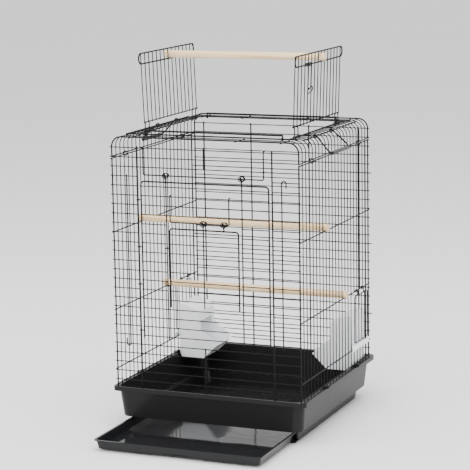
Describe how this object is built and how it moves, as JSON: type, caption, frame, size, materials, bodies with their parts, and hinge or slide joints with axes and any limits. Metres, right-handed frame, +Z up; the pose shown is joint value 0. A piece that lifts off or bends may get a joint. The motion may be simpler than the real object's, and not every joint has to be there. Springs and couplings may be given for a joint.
{
  "type": "play-top bird cage",
  "caption": "Table-top wire bird cage with opening roof flaps, a play perch, front doors, feeders, carry handles and a slide-out tray in a plastic base.",
  "frame": {"origin": "centre of the plastic base's footprint on the surface it stands on", "axes": "+X to the cage's right, +Y to its back, +Z up; doors and tray face -Y"},
  "size_m": [0.4486, 0.5665, 0.7419],
  "materials": {
    "black_wire": "satin powder coat",
    "base_plastic": "gloss moulded",
    "tray_plastic": "gloss moulded",
    "feeder_plastic": "translucent moulded",
    "perch_wood": "sanded pine",
    "grip_plastic": "moulded"
  },
  "bodies": {
    "cage": {"base_tub": "base_plastic", "base_feet": "base_plastic", "left_panel": "black_wire", "right_panel": "black_wire", "back_panel": "black_wire", "front_panel": "black_wire", "roof_cap": "black_wire", "opening_rod_front": "black_wire", "opening_rod_back": "black_wire", "roof_clips": "black_wire", "base_clips": "black_wire", "front_pin_left": "black_wire", "front_pin_right": "black_wire", "left_feeder": "feeder_plastic", "right_feeder": "feeder_plastic", "upper_perch": "perch_wood", "lower_perch": "perch_wood"},
    "tray": {"tray": "tray_plastic"},
    "left_flap": {"left_flap": "black_wire"},
    "right_flap": {"right_flap": "black_wire"},
    "latch": {"flap_latch": "black_wire"},
    "play_perch": {"play_perch": "perch_wood"},
    "large_door": {"large_door": "black_wire"},
    "small_door": {"small_door": "black_wire"},
    "large_bail": {"large_bail": "black_wire"},
    "small_bail": {"small_bail": "black_wire"},
    "left_handle": {"left_handle": "black_wire", "left_grip": "grip_plastic"},
    "right_handle": {"right_handle": "black_wire", "right_grip": "grip_plastic"},
    "left_feeder_door": {"left_feeder_door": "black_wire"},
    "right_feeder_door": {"right_feeder_door": "black_wire"}
  },
  "joints": [
    {"name": "tray_slide", "type": "slide", "parent": "cage", "child": "tray", "axis": [0, -1, 0], "range_m": [-0.162, 0.141]},
    {"name": "left_flap_hinge", "type": "hinge", "parent": "cage", "child": "left_flap", "pos_m": [-0.157, 0, 0.586], "axis": [0, 1, 0], "range_deg": [0, 92.5]},
    {"name": "right_flap_hinge", "type": "hinge", "parent": "cage", "child": "right_flap", "pos_m": [0.157, 0, 0.586], "axis": [0, -1, 0], "range_deg": [0, 92.5]},
    {"name": "play_perch_lift", "type": "slide", "parent": "cage", "child": "play_perch", "axis": [0, 0, 1], "range_m": [0, 0.49]},
    {"name": "latch_swing", "type": "hinge", "parent": "right_flap", "child": "latch", "pos_m": [0.16284, -0.058, 0.71987], "axis": [0, -1, 0], "range_deg": [0, 110]},
    {"name": "large_door_hinge", "type": "hinge", "parent": "cage", "child": "large_door", "pos_m": [-0.14, -0.19845, 0.3455], "axis": [0, 0, -1], "range_deg": [0, 95]},
    {"name": "small_door_hinge", "type": "hinge", "parent": "large_door", "child": "small_door", "pos_m": [-0.08, -0.19845, 0.3335], "axis": [0, 0, -1], "range_deg": [0, 95]},
    {"name": "large_bail_swing", "type": "hinge", "parent": "large_door", "child": "large_bail", "pos_m": [0, -0.20335, 0.5145], "axis": [1, 0, 0], "range_deg": [0, 150]},
    {"name": "small_bail_swing", "type": "hinge", "parent": "small_door", "child": "small_bail", "pos_m": [-0.0085, -0.20335, 0.4245], "axis": [1, 0, 0], "range_deg": [0, 150]},
    {"name": "left_handle_swing", "type": "hinge", "parent": "cage", "child": "left_handle", "pos_m": [-0.1851, 0.042, 0.58523], "axis": [0, 1, 0], "range_deg": [0, 135]},
    {"name": "right_handle_swing", "type": "hinge", "parent": "cage", "child": "right_handle", "pos_m": [0.1851, -0.042, 0.58523], "axis": [0, -1, 0], "range_deg": [0, 135]},
    {"name": "left_feeder_door_lift", "type": "hinge", "parent": "cage", "child": "left_feeder_door", "pos_m": [-0.19595, 0.135, 0.2426], "axis": [0, 1, 0], "range_deg": [0, 100]},
    {"name": "right_feeder_door_lift", "type": "hinge", "parent": "cage", "child": "right_feeder_door", "pos_m": [0.19595, 0.135, 0.2426], "axis": [0, -1, 0], "range_deg": [0, 100]}
  ],
  "couplings": [
    {"joint": "right_flap_hinge", "follows": "left_flap_hinge", "ratio": 1},
    {"joint": "play_perch_lift", "follows": "left_flap_hinge", "m_per_rad": 0.3}
  ]
}
